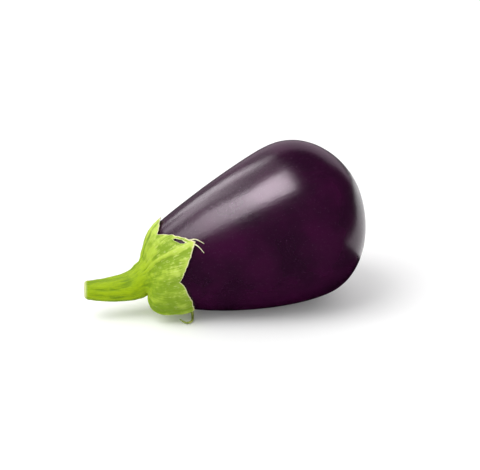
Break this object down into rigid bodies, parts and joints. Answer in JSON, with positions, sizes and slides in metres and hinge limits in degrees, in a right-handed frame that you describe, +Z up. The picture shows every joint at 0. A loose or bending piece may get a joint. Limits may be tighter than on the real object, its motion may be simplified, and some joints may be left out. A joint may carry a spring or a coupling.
{
  "type": "eggplant",
  "caption": "Whole eggplant lying on its side: a glossy dark purple teardrop fruit, a lobed green calyx over its neck and a short curved cut stem.",
  "frame": {"origin": "bottom centre of the whole eggplant's box, on the surface that it lies on", "axes": "+X from the stem to the blossom end, +Y to the back, +Z up; the broadest calyx lobe faces -Y"},
  "size_m": [0.1726, 0.097, 0.0985],
  "materials": {
    "skin": "gloss",
    "calyx_green": "satin",
    "stem_green": "satin"
  },
  "bodies": {
    "root": {"fruit": "skin", "calyx": "calyx_green", "stem": "stem_green"}
  },
  "joints": []
}
